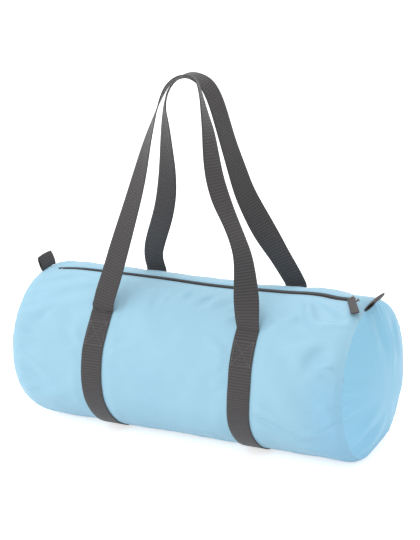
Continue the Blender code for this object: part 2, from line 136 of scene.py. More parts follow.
def add_softbox(name, place, size, power):
    """A square soft box that points at the middle of the bag."""
    light = bpy.data.lights.new(name, "AREA")
    light.shape = "SQUARE"
    light.size = size
    light.energy = power
    lamp = add_object(name, light)
    lamp.location = place
    lamp.rotation_euler = (view_aim - Vector(place)).to_track_quat("-Z", "Y").to_euler()


add_softbox("left_softbox", (-2.1, -1.7, 1.4), 2.4, 17.8)
add_softbox("high_front_softbox", (-0.3, -2.4, 2.0), 2.0, 10.2)
add_softbox("top_softbox", (-0.4, 0.9, 2.4), 1.6, 17.6)

floor_half = 9.0
floor_glow = 0.60
floor_mesh = bpy.data.meshes.new("studio_floor")
floor_mesh.from_pydata([(-floor_half, -floor_half, 0), (floor_half, -floor_half, 0),
                        (floor_half, floor_half, 0), (-floor_half, floor_half, 0)], [], [(0, 1, 2, 3)])
floor_paper = bpy.data.materials.new("white_paper_sweep")
floor_paper.use_nodes = True
floor_paper.node_tree.nodes.clear()
paper = add_node(floor_paper.node_tree, "ShaderNodeBsdfDiffuse", Color=to_linear("FAFAFA"))
glow_strength = add_node(floor_paper.node_tree, "ShaderNodeMath", {"operation": "MULTIPLY"},
                         _0=background_share(floor_paper.node_tree), _1=floor_glow)
glow = add_node(floor_paper.node_tree, "ShaderNodeEmission", Color=to_linear("FFFFFF"),
                Strength=glow_strength.outputs[0])
sweep = add_node(floor_paper.node_tree, "ShaderNodeAddShader", _0=paper.outputs[0], _1=glow.outputs[0])
add_node(floor_paper.node_tree, "ShaderNodeOutputMaterial", Surface=sweep.outputs[0])
floor_mesh.materials.append(floor_paper)
floor = add_object("studio_floor", floor_mesh)

# The barrel panel
# One rectangle of thin polyester lining cloth, rolled into a barrel with its long edges turned under at
# the zip. Its seams with the round ends gather it, and it sags and creases as empty cloth does.
panel_low, panel_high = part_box("barrel_panel")
end_low, end_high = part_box("end_panel_right")
seam_half = panel_high.x
barrel_radius = panel_high.y
axis_height = end_high.z - end_high.y
shoulder_draw = barrel_radius - end_high.y
shoulder_length = 0.024
base_drop = barrel_radius - axis_height + panel_low.z
base_corner_radius = 0.060
corner_drop = barrel_radius - base_drop - base_corner_radius
corner_side = sqrt((barrel_radius - base_corner_radius) ** 2 - corner_drop ** 2)
corner_turn = pi - np.arctan2(corner_side, corner_drop)
zip_turn = radians(-0.5)
strap_half = 0.129
strap_lean = 0.012
lean_starts = {-1: radians(45), 1: radians(75)}
lean_end = radians(125)
webbing_width = 0.038
webbing_thickness = 0.0015
seat_gap = 0.0003

# The cloth's unevenness: each sort of lump has a height, two sizes and a seed.
panel_lumps = [(0.0012, 0.045, 0.052, 3), (0.0007, 0.019, 0.023, 4)]
lattice_cells = 96

# Each fold: place along the barrel, turn from the top in degrees, its run in degrees from +X towards
# the rear, half length, half width and height; a ridge has a shallower valley beside it.
folds = [
    (-0.262, -50, 12, 0.020, 0.0075, 0.0020), (-0.272, -60, -20, 0.022, 0.0060, -0.0022),
    (-0.268, -68, 4, 0.020, 0.0050, 0.0022), (-0.270, -78, 14, 0.024, 0.0060, -0.0018),
    (-0.250, -94, -32, 0.020, 0.0090, -0.0026), (-0.262, -108, 16, 0.022, 0.0080, 0.0016),
    (-0.228, -15, 24, 0.034, 0.0090, -0.0020), (-0.226, -27, 30, 0.040, 0.0110, 0.0016),
    (-0.205, -54, -34, 0.050, 0.0120, 0.0022), (-0.172, -66, -38, 0.036, 0.0100, -0.0022),
    (-0.190, -38, 18, 0.040, 0.0120, 0.0016), (-0.220, -112, 22, 0.040, 0.0140, 0.0018),
    (-0.104, -26, -78, 0.040, 0.0070, -0.0016), (-0.080, -17, -40, 0.042, 0.0100, 0.0009),
    (-0.060, -34, -58, 0.050, 0.0150, 0.0007), (-0.085, -68, 24, 0.026, 0.0060, 0.0010),
    (-0.088, -80, -18, 0.028, 0.0070, -0.0010), (-0.040, -14, 8, 0.030, 0.0080, 0.0012),
    (0.006, -70, 1, 0.105, 0.0180, 0.0010), (0.010, -94, -2, 0.105, 0.0200, -0.0012),
    (-0.200, -88, 0, 0.060, 0.0200, -0.0009), (-0.030, -22, 84, 0.022, 0.0050, 0.0009),
    (-0.046, -24, 96, 0.018, 0.0060, -0.0007), (-0.104, -62, 12, 0.016, 0.0040, 0.0008),
    (-0.103, -70, -6, 0.014, 0.0040, -0.0008), (0.104, -66, -14, 0.018, 0.0045, 0.0010),
    (0.100, -86, 16, 0.018, 0.0050, -0.0007), (-0.255, -34, 24, 0.030, 0.0070, -0.0012),
    (-0.232, -50, 40, 0.026, 0.0080, -0.0012), (-0.180, -20, 12, 0.026, 0.0090, 0.0012),
    (0.226, -50, 12, 0.026, 0.0080, 0.0014), (0.205, -60, -30, 0.026, 0.0080, -0.0010),
    (0.006, -19, 62, 0.012, 0.0060, -0.0013), (0.022, -20, 74, 0.014, 0.0060, 0.0010),
    (0.040, -21, 60, 0.014, 0.0065, -0.0015), (0.056, -21, 66, 0.016, 0.0060, 0.0009),
    (0.078, -24, 40, 0.022, 0.0080, -0.0011), (0.090, -36, 28, 0.022, 0.0080, 0.0014),
    (0.092, -58, -30, 0.026, 0.0070, 0.0012), (0.096, -74, 22, 0.022, 0.0060, -0.0009),
    (0.156, -40, 62, 0.030, 0.0070, -0.0018), (0.176, -34, 40, 0.036, 0.0100, 0.0018),
    (0.196, -18, -70, 0.030, 0.0080, -0.0026), (0.222, -34, -36, 0.028, 0.0070, -0.0020),
    (0.212, -22, -50, 0.032, 0.0080, 0.0022), (0.244, -20, -34, 0.030, 0.0075, -0.0020),
    (0.256, -30, 10, 0.022, 0.0070, 0.0018), (0.244, -58, 60, 0.030, 0.0120, -0.0024),
    (0.258, -62, 40, 0.030, 0.0100, 0.0014), (0.252, -86, 86, 0.055, 0.0260, -0.0022),
    (0.262, -60, -8, 0.018, 0.0055, 0.0024), (0.254, -68, -12, 0.016, 0.0050, 0.0018),
    (0.254, -96, -60, 0.034, 0.0130, -0.0024),
    (0.272, -103, 34, 0.016, 0.0040, -0.0030), (0.262, -88, 14, 0.024, 0.0060, 0.0016),
    (0.170, -96, -32, 0.034, 0.0070, 0.0018), (0.166, -106, -30, 0.036, 0.0065, -0.0016),
    (0.176, -114, -26, 0.040, 0.0080, 0.0018), (0.212, -126, -18, 0.044, 0.0100, 0.0018),
    (0.240, -118, 20, 0.030, 0.0080, -0.0016), (0.186, -76, -66, 0.040, 0.0150, 0.0016),
    (-0.200, 30, 34, 0.040, 0.0120, -0.0014), (-0.076, 34, 66, 0.030, 0.0110, -0.0016),
    (0.020, 15, -66, 0.020, 0.0080, -0.0010), (0.060, 16, -50, 0.026, 0.0080, 0.0010),
    (0.100, 34, -34, 0.036, 0.0100, -0.0016), (0.178, 34, 52, 0.036, 0.0110, -0.0018),
    (0.240, 40, -40, 0.030, 0.0090, -0.0018),
    (-0.250, 58, 14, 0.024, 0.0070, 0.0020), (-0.246, 74, -22, 0.030, 0.0080, -0.0020),
    (-0.200, 70, 40, 0.044, 0.0120, 0.0018), (-0.070, 64, -50, 0.040, 0.0110, -0.0016),
    (0.010, 84, 12, 0.060, 0.0180, 0.0016), (0.080, 58, 36, 0.034, 0.0080, 0.0014),
    (0.182, 60, -44, 0.040, 0.0110, 0.0020), (0.236, 84, 64, 0.036, 0.0130, -0.0022),
    (0.258, 66, 10, 0.020, 0.0060, 0.0020), (-0.176, 104, -34, 0.038, 0.0100, 0.0016),
    (0.168, 108, 32, 0.038, 0.0090, -0.0016), (0.230, 118, -24, 0.040, 0.0100, 0.0016)]

# How the cloth behind the zip rises and sinks along the barrel: (place, height).
rear_crest = [(-0.292, 0.0010), (-0.275, 0.0027), (-0.217, 0.0006), (-0.166, 0.0010), (-0.126, -0.0022),
              (-0.090, -0.0014), (-0.057, 0.0), (-0.023, -0.0003), (0.034, -0.0023), (0.081, -0.0030),
              (0.125, -0.0010), (0.166, 0.0006), (0.213, 0.0024), (0.243, -0.0018), (0.269, -0.0030),
              (0.292, -0.0006)]
fold_depth = 2.2
ridge_power = 1.6
valley_share = 0.45
valley_offset = 1.7
crest_turn = radians(22.6)
crest_spread = radians(13)

# The gathers: two waves that wander along the seam, and how far they run into the cloth.
gather_pitch = 0.0165
fine_gather_pitch = 0.0097
fine_gather_share = 0.6
gather_wander = 0.006
gather_wander_size = 0.040
gather_patch = 0.033
gather_middle = 0.55
panel_gather_height = 0.0024
gather_run = 0.012
gather_start = 0.003
least_drop = 0.05


def from_top(turns):
    """The same turns counted from the barrel's top, between half a turn each way."""
    return (np.asarray(turns) + pi) % (2 * pi) - pi


def outline_reach(turns):
    """How far the barrel's plain outline lies from its axis at turns from its top."""
    near = from_top(turns)
    side, drop = np.abs(np.sin(near)), -np.cos(near)
    along = corner_side * side + corner_drop * drop
    rounded = along + np.sqrt(np.maximum(
        along ** 2 - corner_side ** 2 - corner_drop ** 2 + base_corner_radius ** 2, 0))
    flat = (barrel_radius - base_drop) / np.maximum(drop, least_drop)
    under = np.where(flat * side <= corner_side, flat, rounded)
    return np.where(np.abs(near) <= corner_turn, barrel_radius, under)


def soft_step(values, start, end):
    """0 before the start, 1 after the end and smooth between them."""
    share = np.clip((values - start) / (end - start), 0, 1)
    return share * share * (3 - 2 * share)


def soft_noise(x, s, size_x, size_s, seed):
    """Smooth seeded unevenness between -1 and 1, with lumps of about the sizes given."""
    lattice = np.random.default_rng(seed).uniform(-1, 1, (lattice_cells, lattice_cells))
    place_x, place_s = x / size_x + lattice_cells / 2, s / size_s + lattice_cells / 2
    cell_x, cell_s = np.floor(place_x).astype(int), np.floor(place_s).astype(int)
    part_x, part_s = soft_step(place_x - cell_x, 0, 1), soft_step(place_s - cell_s, 0, 1)
    total = 0
    for step_x, weight_x in ((0, 1 - part_x), (1, part_x)):
        for step_s, weight_s in ((0, 1 - part_s), (1, part_s)):
            corner = lattice[(cell_x + step_x) % lattice_cells, (cell_s + step_s) % lattice_cells]
            total = total + weight_x * weight_s * corner
    return total


def uneven(x, s, lumps, seed_shift=0):
    """Lumps of several sizes, added up."""
    return sum(height * soft_noise(x, s, size_x, size_s, seed + seed_shift)
               for height, size_x, size_s, seed in lumps)


def fold_section(sideways):
    """The height across a fold: a round ridge with a shallower valley beside it."""
    valley = np.exp(-(sideways - valley_offset) ** 2)
    return np.exp(-np.abs(sideways) ** ridge_power) - valley_share * valley


def gather_wave(s, side):
    """The uneven gathers that a seam draws up along its length, between -1 and 1."""
    along_only = np.zeros_like(s)
    wander = gather_wander * soft_noise(s, along_only, gather_wander_size, 1.0, 11 + side)
    patch = soft_noise(s, along_only, gather_patch, 1.0, 21 + side)
    wave = np.sin((s + wander) * 2 * pi / gather_pitch)
    wave = wave + fine_gather_share * np.sin((s - 2 * wander) * 2 * pi / fine_gather_pitch + side)
    return wave / (1 + fine_gather_share) * (gather_middle + (1 - gather_middle) * patch)


def free_relief(x, turns):
    """How far the cloth stands out from the plain barrel away from the straps and the zip."""
    near = from_top(turns)
    s = near * barrel_radius
    relief = uneven(x, s, panel_lumps)
    for place, turn, run, half_length, half_width, height in folds:
        away_x, away_s = x - place, s - radians(turn) * barrel_radius
        lengthways = (away_x * cos(radians(run)) + away_s * sin(radians(run))) / half_length
        sideways = (away_s * cos(radians(run)) - away_x * sin(radians(run))) / half_width
        relief = relief + fold_depth * height * fold_section(sideways) * np.exp(-lengthways ** 2)
    crest_places, crest_heights = np.array(rear_crest).T
    crest = np.interp(x, crest_places, crest_heights)
    relief = relief + crest * np.exp(-((near - crest_turn) / crest_spread) ** 2)
    for side in (-1, 1):
        inset = np.maximum(seam_half - side * x, 0)
        gathers = panel_gather_height * gather_wave(s, side) * np.exp(-inset / gather_run)
        relief = relief + gathers * soft_step(inset, 0, gather_start)
    return relief


def strap_place(side, turns):
    """Where a belly strap's middle lies along the barrel: it drifts to the left under the base."""
    near = np.abs(from_top(turns))
    return side * strap_half - strap_lean * soft_step(near, lean_starts[side], lean_end)


# The straps hold the cloth from these turns on, draw it in by a little and swell it beside them. The
# relief has a limit, fades towards the zip, and stays off the bindings and tapes that lie under it.
hold_turns = radians(38), radians(45)
drawn_turns = radians(42), radians(52)
drawn_end_turns = radians(118), radians(140)
strap_margin = 0.0005, 0.020
held_share = 0.35
strap_draw = 0.0011
swell_height = 0.0010
swell_place = 0.016
swell_width = 0.010
relief_limit = 0.0050
zip_margin = 0.010, 0.034
seam_level = -0.0008
seam_margin = 0.009, 0.028
deepest = 0.0070
level_blend = 0.0006
base_turns = radians(128), radians(150)
base_limits = -0.0008, 0.0010


def shell_relief(x, turns):
    """The cloth's relief, calm beside the zip, drawn in under the straps and flat on the floor."""
    near = from_top(turns)
    relief = free_relief(x, turns)
    under = soft_step(np.abs(near), *drawn_turns) * (1 - soft_step(np.abs(near), *drawn_end_turns))
    for side in (-1, 1):
        place = strap_place(side, turns)
        beside = np.abs(x - place) - webbing_width / 2
        hold = 1 - soft_step(beside, *strap_margin)
        drawn = held_share * free_relief(place, turns) - strap_draw * under
        relief = relief + (drawn - relief) * hold * soft_step(np.abs(near), *hold_turns)
        swell = np.exp(-((beside - swell_place) / swell_width) ** 2) * under
        relief = relief + swell_height * swell
    from_zip = np.abs(near - zip_turn) * barrel_radius
    relief = relief_limit * np.tanh(relief / relief_limit) * soft_step(from_zip, *zip_margin)
    inset = np.maximum(seam_half - np.abs(x), 0)
    lowest = seam_level - deepest * soft_step(inset, *seam_margin)
    relief = lowest + level_blend * np.logaddexp(0, (relief - lowest) / level_blend)
    below = soft_step(np.abs(near), *base_turns)
    return relief * (1 - below) + below * np.clip(relief, *base_limits)


# The zip isn't quite straight: each swell along it has a place, a width and a height.
swells_rearwards = [(0.205, 0.040, 0.0030), (0.030, 0.090, -0.0012), (-0.270, 0.032, -0.0032)]
swells_upwards = [(0.200, 0.035, 0.0014), (0.035, 0.075, -0.0024), (-0.270, 0.032, -0.0026)]
swell_left_end = -0.284, -0.262
swell_right_end = 0.215, 0.247


def zip_shift(x):
    """How far the cloth gives way along the zip: towards the rear and upwards."""
    inside = soft_step(x, *swell_left_end) * (1 - soft_step(x, *swell_right_end))
    return [inside * sum(height * np.exp(-((x - place) / width) ** 2) for place, width, height in swells)
            for swells in (swells_rearwards, swells_upwards)]


# At a seam the cloth rolls over its edge a little and its gathers pinch it. Near the zip it gives way.
pinch_depth = 0.0014
pinch_share = 0.35, 0.95
pinch_inset = 0.0002, 0.0020
rolled_height = 0.0009
rolled_width = 0.0026
give_turn = radians(38)


def shoulder(x):
    """How far the barrel's side has drawn in towards an end, and how steeply."""
    share = np.maximum(np.abs(x) - seam_half + shoulder_length, 0) / shoulder_length
    return shoulder_draw * share ** 2, 2 * shoulder_draw * share / shoulder_length


def shell_points(x, turns, offset=0.0):
    """Points on the finished cloth, or square off it by an offset."""
    near = from_top(turns)
    fall, slope = shoulder(x)
    inset = seam_half - np.abs(x)
    pinch = pinch_depth * soft_step(gather_wave(near * barrel_radius, 3), *pinch_share)
    rolled = rolled_height * np.exp(-(inset / rolled_width) ** 2)
    rolled = rolled - pinch * (1 - soft_step(inset, *pinch_inset))
    reach = outline_reach(near) - fall + shell_relief(x, turns) + rolled + offset * np.sqrt(1 + slope ** 2)
    give = np.cos(np.clip(near / give_turn * pi / 2, -pi / 2, pi / 2)) ** 2
    rear, up = zip_shift(x)
    across, height = reach * np.sin(near) + rear * give, reach * np.cos(near) + up * give
    return np.stack([x, across, axis_height + height], -1)


def grid_object(name, points, material, uv, closed_around=False, flip=False):
    """A mesh through a grid of points, rows by columns, with its own UV map in metres."""
    rows, columns = points.shape[:2]
    spans = columns if closed_around else columns - 1
    row_index, column_index = np.meshgrid(np.arange(rows - 1), np.arange(spans), indexing="ij")
    after = (column_index + 1) % columns
    quads = np.stack([row_index * columns + column_index, (row_index + 1) * columns + column_index,
                      (row_index + 1) * columns + after, row_index * columns + after], -1).reshape(-1, 4)
    if flip:
        quads = quads[:, ::-1]
    mesh = bpy.data.meshes.new(name)
    mesh.from_pydata(points.reshape(-1, 3).tolist(), [], quads.tolist())
    corners = uv.reshape(-1, 2)[quads.reshape(-1)]
    mesh.uv_layers.new(name="UVMap").data.foreach_set("uv", corners.astype(np.float32).reshape(-1))
    mesh.shade_smooth()
    mesh.materials.append(material)
    return add_object(name, mesh)


def new_material(name, base, roughness, **settings):
    """A material with its shader; settings are the shader's own constant sockets."""
    material = bpy.data.materials.new(name)
    material.use_nodes = True
    shader = material.node_tree.nodes["Principled BSDF"]
    shader.inputs["Base Color"].default_value = to_linear(base)
    shader.inputs["Roughness"].default_value = roughness
    for setting, value in settings.items():
        shader.inputs[setting.replace("_", " ")].default_value = value
    return material, material.node_tree, shader


def plain_weave(tree, u, v, spacing):
    """The height of a plain weave over coordinates in metres: threads pass over and under in turn."""
    along_u = add_node(tree, "ShaderNodeMath", {"operation": "MULTIPLY"}, _0=u, _1=pi / spacing)
    along_v = add_node(tree, "ShaderNodeMath", {"operation": "MULTIPLY"}, _0=v, _1=pi / spacing)
    wave_u = add_node(tree, "ShaderNodeMath", {"operation": "SINE"}, _0=along_u.outputs[0])
    wave_v = add_node(tree, "ShaderNodeMath", {"operation": "SINE"}, _0=along_v.outputs[0])
    crossed = add_node(tree, "ShaderNodeMath", {"operation": "MULTIPLY"}, _0=wave_u.outputs[0],
                       _1=wave_v.outputs[0])
    return crossed.outputs[0]


# Polyester taffeta, woven from filament yarn: smooth and slightly shiny, with a faint weave. Its
# threads are about 0.12 mm apart, too fine to show, so they are drawn at 0.8 mm, and the cloth's
# small creases are in the bump too, about 25 mm across and up to a millimetre or so deep.
cloth_thread = 0.0008
crumple_scale = 38.0
crumple_depth = 0.0016
weave_depth = 0.0001
dye_scale = 9.0
# Where the painted shade by the right end starts and where it is full, and the height below which it starts.
painted_shade_width = 0.085
painted_shade_full = 0.020
painted_shade_top = 0.225


def taffeta(name, light_yarn, dark_yarn, painted_shade_tone):
    """The lining cloth; its first two colours are those of the yarns that run each way, and the third is a
    painted shade tone for the low part by the right end.
    """
    cloth, tree, shader = new_material(name, light_yarn, 0.50, IOR=1.53, Specular_IOR_Level=0.28,
                                       Sheen_Weight=0.05, Sheen_Roughness=0.45)
    cloth_uv = add_node(tree, "ShaderNodeUVMap", {"uv_map": "UVMap"})
    cloth_parts = add_node(tree, "ShaderNodeSeparateXYZ", _0=cloth_uv.outputs[0])
    weave = plain_weave(tree, cloth_parts.outputs[0], cloth_parts.outputs[1], cloth_thread)
    place = add_node(tree, "ShaderNodeTexCoord")
    crumple = add_node(tree, "ShaderNodeTexNoise", Vector=place.outputs["Object"], Scale=crumple_scale,
                       Detail=3.0, Roughness=0.5)
    crumple_bump = add_node(tree, "ShaderNodeBump", Strength=0.42, Distance=crumple_depth,
                            Height=crumple.outputs["Fac"])
    weave_bump = add_node(tree, "ShaderNodeBump", Strength=0.10, Distance=weave_depth, Height=weave,
                          Normal=crumple_bump.outputs[0])
    tree.links.new(weave_bump.outputs[0], shader.inputs["Normal"])
    dye = add_node(tree, "ShaderNodeTexNoise", Vector=place.outputs["Object"], Scale=dye_scale, Detail=2.0)
    dye_range = add_node(tree, "ShaderNodeMapRange", Value=dye.outputs["Fac"], To_Min=-0.5, To_Max=0.5)
    thread_tint = add_node(tree, "ShaderNodeMath", {"operation": "MULTIPLY_ADD"}, _0=weave, _1=0.22,
                           _2=dye_range.outputs[0])
    tint_share = add_node(tree, "ShaderNodeMath", {"operation": "ADD", "use_clamp": True},
                          _0=thread_tint.outputs[0], _1=0.5)
    colour = add_node(tree, "ShaderNodeMix", {"data_type": "RGBA"}, _0=tint_share.outputs[0],
                      _6=to_linear(dark_yarn), _7=to_linear(light_yarn))
    # Painted shade: towards the closed right end of the zip, and most of all low down, the colour is mixed
    # towards a deeper blue that stands in for the shade there.
    spot = add_node(tree, "ShaderNodeSeparateXYZ", _0=place.outputs["Object"])
    by_end = add_node(tree, "ShaderNodeMapRange", {"interpolation_type": "SMOOTHSTEP"},
                      Value=spot.outputs[0], From_Min=seam_half - painted_shade_width,
                      From_Max=seam_half - painted_shade_full)
    low_down = add_node(tree, "ShaderNodeMapRange", {"interpolation_type": "SMOOTHSTEP"},
                        Value=spot.outputs[2], From_Min=painted_shade_top, From_Max=axis_height)
    painted_shade_share = add_node(tree, "ShaderNodeMath", {"operation": "MULTIPLY"}, _0=by_end.outputs[0],
                          _1=low_down.outputs[0])
    shaded = add_node(tree, "ShaderNodeMix", {"data_type": "RGBA"}, _0=painted_shade_share.outputs[0],
                      _6=colour.outputs[2], _7=to_linear(painted_shade_tone))
    tree.links.new(shaded.outputs[2], shader.inputs["Base Color"])
    return cloth


# The third colour is the painted shade tone by the right end.
fabric = taffeta("polyester_taffeta", "A5D1E5", "9DCAE1", "93C5E1")

# The panel's grid, and the opening between its turned edges, which is narrower at the left.
panel_columns = 234
panel_rows = 316
zip_open_left = 0.0058
zip_open_right = 0.0082
zip_closed_half = 0.0004
zip_left_end = -0.2590
zip_right_end = 0.2708
opening_taper = 0.006
seam_stations = [0, 0.0007, 0.0015, 0.0026]
first_station = 0.004


def opening_half(x):
    """Half the width between the panel's two turned edges, which meet past the ends of the zip."""
    open_share = soft_step(x, zip_left_end - opening_taper, zip_left_end) * (1 - soft_step(
        x, zip_right_end, zip_right_end + opening_taper))
    wide = np.interp(x, (zip_left_end, zip_right_end), (zip_open_left, zip_open_right))
    return zip_closed_half + (wide - zip_closed_half) * open_share


def panel_stations():
    """Places along the barrel, closer together at the seams."""
    inner = np.linspace(-seam_half + first_station, seam_half - first_station,
                        panel_columns - 2 * len(seam_stations))
    edge = seam_half - np.array(seam_stations)
    return np.concatenate([-edge, inner, edge[::-1]])


# The hem's lines: their depth below the cloth's face, and how far each lies from the fold.
hem_radius = 0.0006
hem_depth = [0.00018, 0.0006, 0.00102, 0.0012, 0.0012, 0.0012]
hem_across = [0.00042, 0.0006, 0.00042, 0.0, -0.003, -0.007]
least_opening = 0.0001


def make_barrel_cloth():
    """The panel's grid, with its hems turned under at the zip."""
    x = panel_stations()
    edge_turn = np.arcsin(opening_half(x) / barrel_radius)
    share = np.linspace(0, 1, panel_rows)
    start, end = zip_turn + edge_turn, zip_turn - edge_turn + 2 * pi
    turns = start[None, :] + (end - start)[None, :] * share[:, None]
    stations = np.broadcast_to(x, turns.shape)
    body = shell_points(stations, turns)
    around = turns * barrel_radius
    hems = []
    for edge, sign in ((start, 1), (end, -1)):
        lines, wraps = [], []
        for depth, across in zip(hem_depth, hem_across):
            held = np.minimum(across, opening_half(x) - least_opening) if across > 0 else across
            turn = edge - sign * held / barrel_radius
            lines.append(shell_points(x, turn, -depth))
            wraps.append(edge * barrel_radius - sign * (depth + hem_radius))
        hems.append((lines, wraps))
    points = np.concatenate([np.array(hems[0][0][::-1]), body, np.array(hems[1][0])])
    wrapped = np.concatenate([np.array(hems[0][1][::-1]), around, np.array(hems[1][1])])
    uv = np.stack([np.broadcast_to(x, wrapped.shape), wrapped], -1)
    return grid_object("barrel_cloth", points, fabric, uv)


barrel_cloth = make_barrel_cloth()
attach(barrel_cloth, "bag")
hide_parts("barrel_panel")

# The round ends
# Two discs of the same cloth, sewn into the barrel's ends. Their colours are a deeper blue copy of the
# barrel's, painted shade for ends turned away from the lamps. The air in the bag domes them, and the seam's
# gathers run a short way in from the rim.
painted_shade_end_fabric = taffeta("polyester_taffeta_painted_shade", "9BD6F1", "92CFEE", "96D1EF")
cloth_solid_thickness = 0.0012
end_dome = end_high.x - end_low.x - cloth_solid_thickness
dome_power = 2.3
end_rings = 44
end_spokes = 320
ring_power = 1.25
last_ring = 0.004
end_lumps = [(0.0012, 0.050, 0.055, 31), (0.0004, 0.020, 0.024, 41)]
end_fold_depth = 1.5
end_fold_run = 0.55
end_gather_height = 0.0022
rim_calm = 0.005

# Each fold of an end: its two ends as (across to the rear, up from the axis), half width and height.
right_end_folds = [
    ((0.030, 0.098), (0.018, 0.030), 0.010, 0.0026), ((0.000, 0.104), (-0.006, 0.050), 0.008, -0.0022),
    ((0.060, 0.084), (0.044, 0.036), 0.010, -0.0018), ((-0.020, 0.100), (-0.030, 0.060), 0.009, 0.0016),
    ((-0.100, -0.050), (-0.050, -0.030), 0.009, 0.0022), ((-0.088, -0.070), (-0.040, -0.052), 0.008, -0.0020),
    ((-0.070, -0.090), (-0.020, -0.060), 0.010, 0.0020), ((-0.112, -0.020), (-0.070, -0.012), 0.008, -0.0012),
    ((-0.108, 0.030), (-0.066, 0.020), 0.009, 0.0014), ((0.086, -0.040), (0.040, -0.030), 0.011, 0.0008),
    ((0.050, -0.088), (0.020, -0.040), 0.010, -0.0016), ((0.096, 0.024), (0.060, 0.020), 0.010, 0.0006)]
left_end_folds = [
    ((-0.094, 0.060), (-0.050, 0.036), 0.010, 0.0022), ((-0.110, 0.016), (-0.066, 0.006), 0.009, -0.0020),
    ((-0.104, -0.030), (-0.056, -0.022), 0.010, 0.0020), ((-0.070, 0.088), (-0.044, 0.050), 0.009, -0.0018),
    ((0.010, 0.104), (0.004, 0.056), 0.010, 0.0020), ((0.070, 0.080), (0.040, 0.040), 0.010, -0.0016),
    ((0.108, 0.010), (0.060, 0.006), 0.010, 0.0018), ((0.080, -0.070), (0.040, -0.036), 0.010, -0.0018),
    ((-0.050, -0.094), (-0.020, -0.050), 0.010, 0.0018), ((0.020, -0.100), (0.010, -0.050), 0.010, 0.0014)]


def extend_mesh(piece, more_faces, more_points=(), more_uv=()):
    """Rebuild a piece's mesh with more faces; a new corner takes the UV of its point."""
    old = piece.data
    points = [tuple(v.co) for v in old.vertices] + list(more_points)
    faces = [tuple(p.vertices) for p in old.polygons] + more_faces
    corners = np.zeros(len(old.loops) * 2, np.float32)
    old.uv_layers[0].data.foreach_get("uv", corners)
    point_uv = np.zeros((len(points), 2), np.float32)
    point_uv[[loop.vertex_index for loop in old.loops]] = corners.reshape(-1, 2)
    if more_points:
        point_uv[len(old.vertices):] = more_uv
    mesh = bpy.data.meshes.new(old.name)
    mesh.from_pydata(points, [], faces)
    places = point_uv[[index for face in faces for index in face]]
    mesh.uv_layers.new(name="UVMap").data.foreach_set("uv", places.reshape(-1))
    mesh.shade_smooth()
    mesh.materials.append(old.materials[0])
    piece.data = mesh
    bpy.data.meshes.remove(old)


def make_end_cloth(name, side, cad_node, end_folds):
    """One domed end: rings from the seam to the middle, with its folds and its gathered rim."""
    share = 1 - np.linspace(0, 1, end_rings) ** ring_power
    share[-1] = last_ring
    near = np.arange(end_spokes) * 2 * pi / end_spokes - pi
    share, near = np.meshgrid(share, near, indexing="ij")
    seam_line = shell_points(np.full_like(near, side * seam_half), near)
    rim_reach = np.hypot(seam_line[..., 1], seam_line[..., 2] - axis_height)
    near = np.arctan2(seam_line[..., 1], seam_line[..., 2] - axis_height)
    reach = rim_reach * share
    x_rise = end_dome * (1 - share ** dome_power)
    y, z = reach * np.sin(near), reach * np.cos(near)
    from_rim = rim_reach - reach
    relief = uneven(y, z, end_lumps, side)
    for start, end, half_width, height in end_folds:
        start, end = np.array(start), np.array(end)
        run = end - start
        length = sqrt(run @ run)
        lengthways = ((y - start[0]) * run[0] + (z - start[1]) * run[1]) / length
        sideways = ((z - start[1]) * run[0] - (y - start[0]) * run[1]) / length / half_width
        middle = (lengthways - length / 2) / (length * end_fold_run)
        relief = relief + end_fold_depth * height * fold_section(sideways) * np.exp(-middle ** 2)
    gathers = end_gather_height * gather_wave(near * barrel_radius, side) * np.exp(-from_rim / gather_run)
    relief = (relief + gathers) * soft_step(from_rim, 0.0, rim_calm)
    points = np.stack([side * (seam_half + x_rise + relief), y, axis_height + z], -1)
    piece = grid_object(name, points, painted_shade_end_fabric, points[..., 1:], closed_around=True, flip=side < 0)
    centre = points[-1].mean(0)
    first, middle_index = (end_rings - 1) * end_spokes, end_rings * end_spokes
    ring = [(first + index, first + (index + 1) % end_spokes) for index in range(end_spokes)]
    fan = [(here, middle_index, after) if side > 0 else (after, middle_index, here) for here, after in ring]
    extend_mesh(piece, fan, [tuple(centre)], [tuple(centre[1:])])
    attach(piece, "bag")
    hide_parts(cad_node)


make_end_cloth("end_cloth_left", -1, "end_panel_left", left_end_folds)
make_end_cloth("end_cloth_right", 1, "end_panel_right", right_end_folds)

# The seam bindings
# Folded tape sewn round the raw seams inside the ends, so that they can't fray. It keeps its packed
# shape, out of sight.

# Polyester tape, like the zip's: matt yarn woven in two near shades of dark grey. Its threads are about
# 0.3 mm apart, too fine to show, so they are drawn at 0.9 mm.
tape_thread = 0.0009
tape_cloth, tape_tree, tape_shader = new_material(
    "woven_polyester_tape", "57534F", 0.82, IOR=1.53, Specular_IOR_Level=0.3, Sheen_Weight=0.15)
tape_place = add_node(tape_tree, "ShaderNodeTexCoord")
tape_parts = add_node(tape_tree, "ShaderNodeSeparateXYZ", _0=tape_place.outputs["Object"])
tape_weave = plain_weave(tape_tree, tape_parts.outputs[0], tape_parts.outputs[1], tape_thread)
tape_bump = add_node(tape_tree, "ShaderNodeBump", Strength=0.6, Distance=0.0002, Height=tape_weave)
tape_tree.links.new(tape_bump.outputs[0], tape_shader.inputs["Normal"])
tape_share = add_node(tape_tree, "ShaderNodeMapRange", Value=tape_weave, From_Min=-1.0, From_Max=1.0)
tape_colour = add_node(tape_tree, "ShaderNodeMix", {"data_type": "RGBA"}, _0=tape_share.outputs[0],
                       _6=to_linear("4E4A4B"), _7=to_linear("5E595A"))
tape_tree.links.new(tape_colour.outputs[2], tape_shader.inputs["Base Color"])

for cad_node in ("seam_binding_left", "seam_binding_right"):
    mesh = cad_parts[cad_node].data
    mesh.materials.clear()
    mesh.materials.append(tape_cloth)

# The zip's tapes
# Two woven tapes sewn under the panel's turned edges, each with a corded inner edge that carries its
# coil. They give way with the cloth along the middle of the zip.
tape_inner = 0.0031
tape_outer = 0.0192
tape_level = -0.0015
tape_stations = 220
